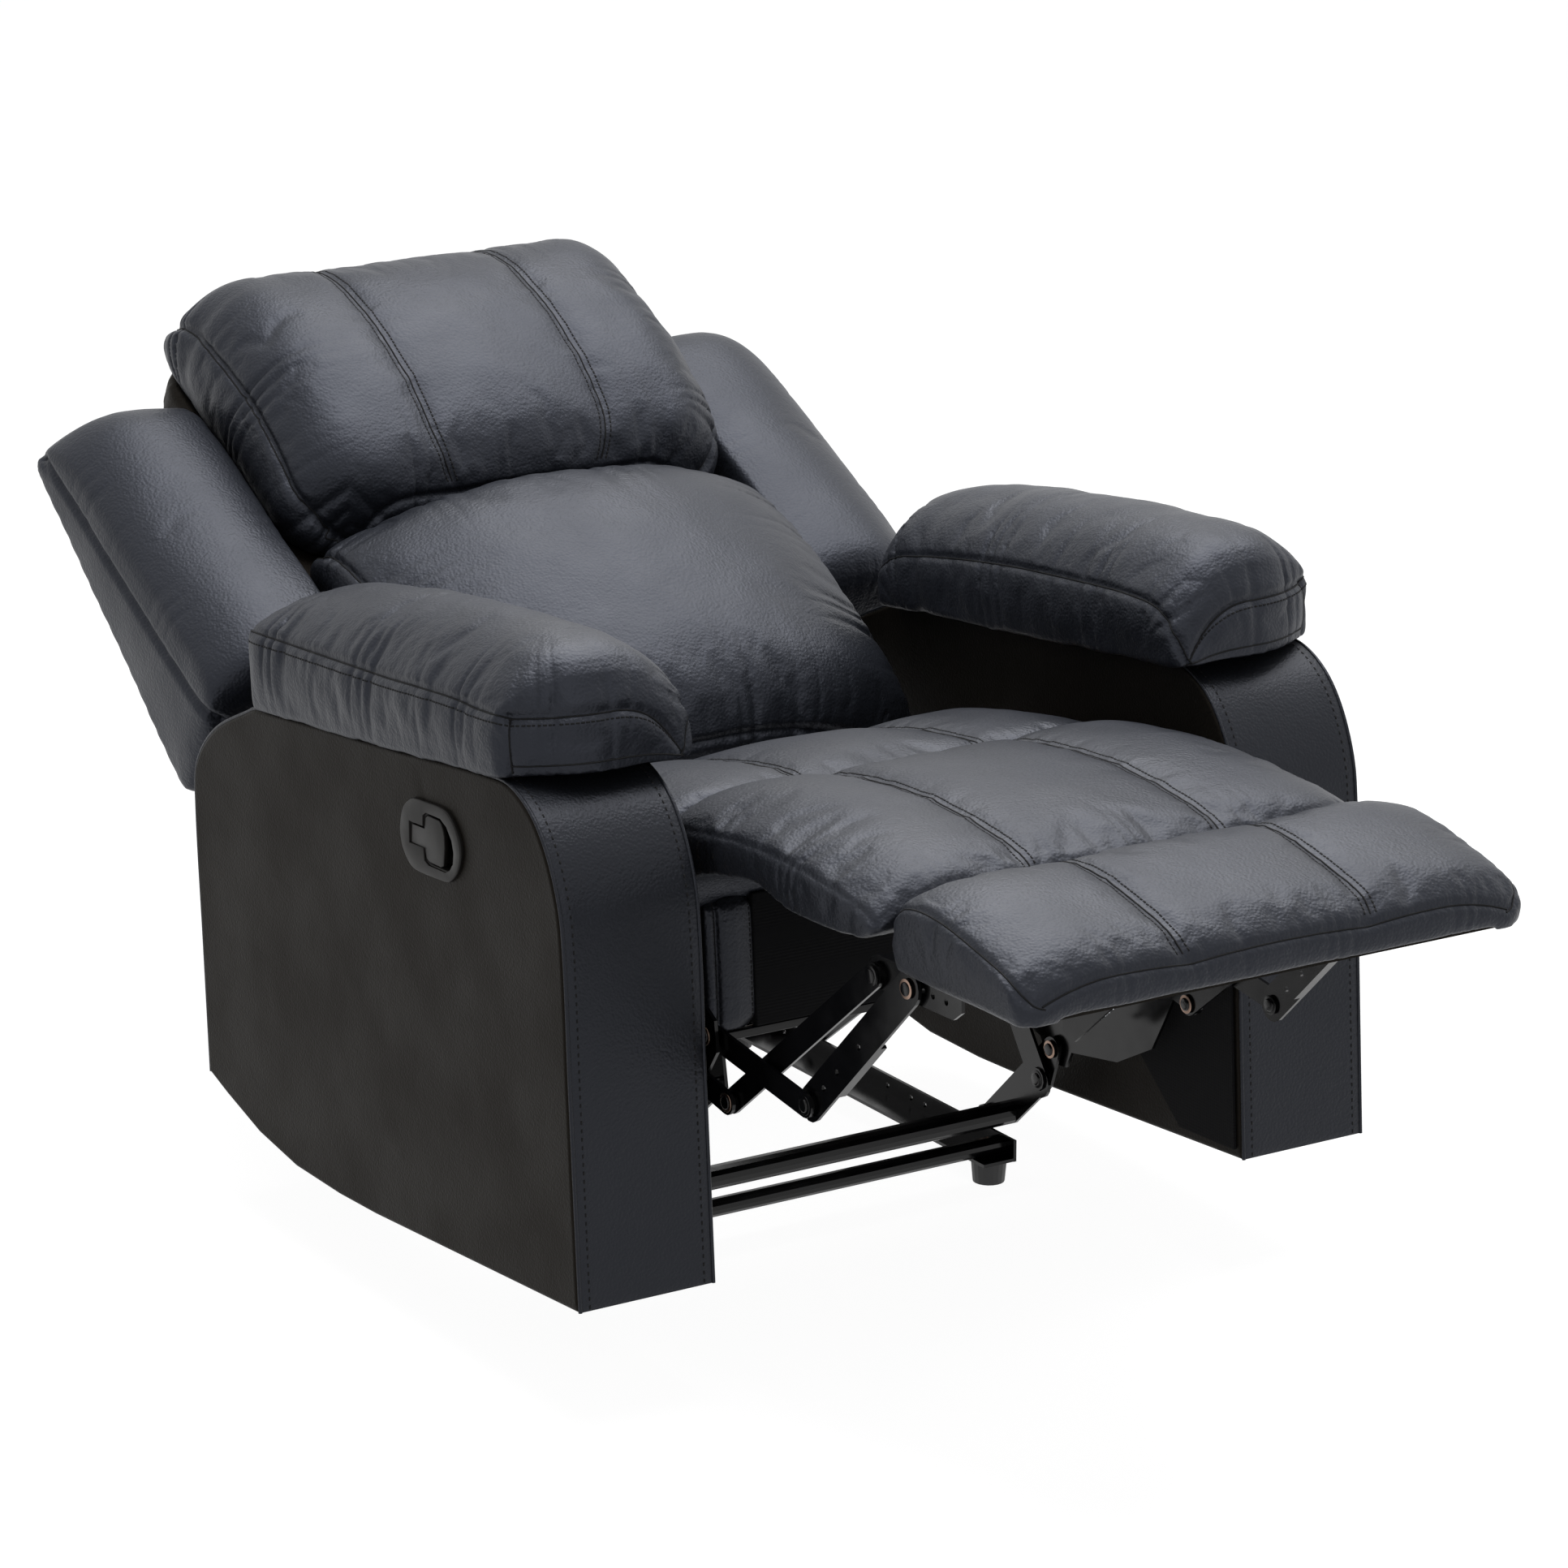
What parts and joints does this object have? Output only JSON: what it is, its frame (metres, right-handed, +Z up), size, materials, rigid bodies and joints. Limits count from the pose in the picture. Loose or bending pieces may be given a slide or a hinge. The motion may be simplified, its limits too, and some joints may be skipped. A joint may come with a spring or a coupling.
{
  "type": "recliner chair",
  "caption": "Padded black leather armchair with a reclining back, folding footrest and a pull lever in one arm, shown fully reclined.",
  "frame": {"origin": "centre of the bounding box at floor level, in the reclined rest pose", "axes": "+Z up, the chair faces -Y, +X is the occupant's left, and the lever is on the -X arm"},
  "size_m": [0.92, 1.6969, 0.8504],
  "materials": {
    "cushion_leather": "semi-gloss pebbled",
    "panel_leather": "satin",
    "dust_fabric": "matt",
    "painted_steel": "gloss",
    "zinc_wire": "plated",
    "lever_plastic": "satin",
    "foot_plastic": "matt",
    "frame_wood": "raw"
  },
  "bodies": {
    "base": {"base_rail_left": "painted_steel", "base_rail_right": "painted_steel", "foot_front_left": "foot_plastic", "foot_front_right": "foot_plastic", "foot_rear_left": "foot_plastic", "foot_rear_right": "foot_plastic", "base_tube_front": "painted_steel", "base_tube_rear": "painted_steel"},
    "crank_arms": {"crank_left": "painted_steel", "crank_right": "painted_steel", "crank_tube": "painted_steel"},
    "rear_links": {"rear_swing_link_left": "painted_steel", "rear_swing_link_right": "painted_steel"},
    "seat_body": {"seat_side_plate_left": "painted_steel", "seat_side_plate_right": "painted_steel", "seat_side_rail_left": "frame_wood", "seat_side_rail_right": "frame_wood", "arm_left": "panel_leather", "arm_right": "panel_leather", "arm_pad_left": "cushion_leather", "arm_pad_right": "cushion_leather", "dust_panel_left": "dust_fabric", "dust_panel_right": "dust_fabric", "spring_anchor_left": "painted_steel", "spring_anchor_right": "painted_steel", "coil_spring_left": "zinc_wire", "coil_spring_right": "zinc_wire", "seat_front_rail": "painted_steel", "seat_rear_rail": "frame_wood", "sinuous_spring_1": "zinc_wire", "sinuous_spring_2": "zinc_wire", "sinuous_spring_3": "zinc_wire", "seat_cushion": "cushion_leather", "bridge_pad": "cushion_leather", "front_apron": "dust_fabric", "lever_bezel": "lever_plastic"},
    "release_lever": {"release_lever": "lever_plastic"},
    "back": {"back_board": "frame_wood", "back_outer_panel": "dust_fabric", "head_cushion": "cushion_leather", "lumbar_cushion": "cushion_leather", "back_wing_left": "cushion_leather", "back_wing_right": "cushion_leather", "back_bracket_left": "painted_steel", "back_bracket_right": "painted_steel"},
    "recline_links": {"recline_link_left": "painted_steel", "recline_link_right": "painted_steel"},
    "lower_front_links": {"lower_front_link_left": "painted_steel", "lower_front_link_right": "painted_steel"},
    "upper_front_links": {"upper_front_link_left": "painted_steel", "upper_front_link_right": "painted_steel"},
    "footrest": {"footrest_board": "frame_wood", "footrest_pad": "cushion_leather", "footrest_bracket_left": "painted_steel", "footrest_bracket_right": "painted_steel"},
    "lower_rear_links": {"lower_rear_link_left": "painted_steel", "lower_rear_link_right": "painted_steel"},
    "upper_rear_links": {"upper_rear_link_left": "painted_steel", "upper_rear_link_right": "painted_steel"}
  },
  "joints": [
    {"name": "back_recline", "type": "hinge", "parent": "seat_body", "child": "back", "pos_m": [0, 0.21475, 0.44365], "axis": [1, 0, 0], "range_deg": [0, 42]},
    {"name": "crank_swing", "type": "hinge", "parent": "base", "child": "crank_arms", "pos_m": [0, -0.0043, 0.055], "axis": [1, 0, 0], "range_deg": [-120, 0]},
    {"name": "seat_tilt", "type": "hinge", "parent": "crank_arms", "child": "seat_body", "pos_m": [0, -0.1143, 0.16], "axis": [1, 0, 0], "range_deg": [0, 124]},
    {"name": "rear_link_swing", "type": "hinge", "parent": "base", "child": "rear_links", "pos_m": [0, 0.3307, 0.0422], "axis": [1, 0, 0], "range_deg": [-122.5, 0]},
    {"name": "recline_link_swing", "type": "hinge", "parent": "back", "child": "recline_links", "pos_m": [0, 0.10202, 0.40843], "axis": [1, 0, 0], "range_deg": [-66.44, 0]},
    {"name": "footrest_fold", "type": "hinge", "parent": "seat_body", "child": "lower_front_links", "pos_m": [0, -0.32693, 0.33818], "axis": [1, 0, 0], "range_deg": [0, 117], "deforming": ["bridge_pad"]},
    {"name": "upper_front_swing", "type": "hinge", "parent": "lower_front_links", "child": "upper_front_links", "pos_m": [0, -0.48933, 0.31796], "axis": [1, 0, 0], "range_deg": [-134.55, 0]},
    {"name": "footrest_swing", "type": "hinge", "parent": "upper_front_links", "child": "footrest", "pos_m": [0, -0.64917, 0.47499], "axis": [1, 0, 0], "range_deg": [0, 102.38]},
    {"name": "lower_rear_swing", "type": "hinge", "parent": "seat_body", "child": "lower_rear_links", "pos_m": [0, -0.23261, 0.30071], "axis": [1, 0, 0], "range_deg": [0, 123.66]},
    {"name": "upper_rear_swing", "type": "hinge", "parent": "lower_rear_links", "child": "upper_rear_links", "pos_m": [0, -0.354, 0.27933], "axis": [1, 0, 0], "range_deg": [-138.06, 0]},
    {"name": "release_lever_pull", "type": "hinge", "parent": "seat_body", "child": "release_lever", "pos_m": [-0.4455, -0.09078, 0.50411], "axis": [0, -0.0698, -0.9976], "range_deg": [0, 25], "stiffness_Nm_per_rad": 0.5, "springref_deg": -14.32}
  ],
  "couplings": [
    {"joint": "crank_swing", "follows": "back_recline", "ratio": -2.8571},
    {"joint": "seat_tilt", "follows": "back_recline", "ratio": 2.9524},
    {"joint": "rear_link_swing", "follows": "back_recline", "ratio": -2.9167},
    {"joint": "recline_link_swing", "follows": "back_recline", "ratio": -1.5819},
    {"joint": "upper_front_swing", "follows": "footrest_fold", "ratio": -1.15},
    {"joint": "footrest_swing", "follows": "footrest_fold", "ratio": 0.875},
    {"joint": "lower_rear_swing", "follows": "footrest_fold", "ratio": 1.0568},
    {"joint": "upper_rear_swing", "follows": "footrest_fold", "ratio": -1.1799}
  ]
}
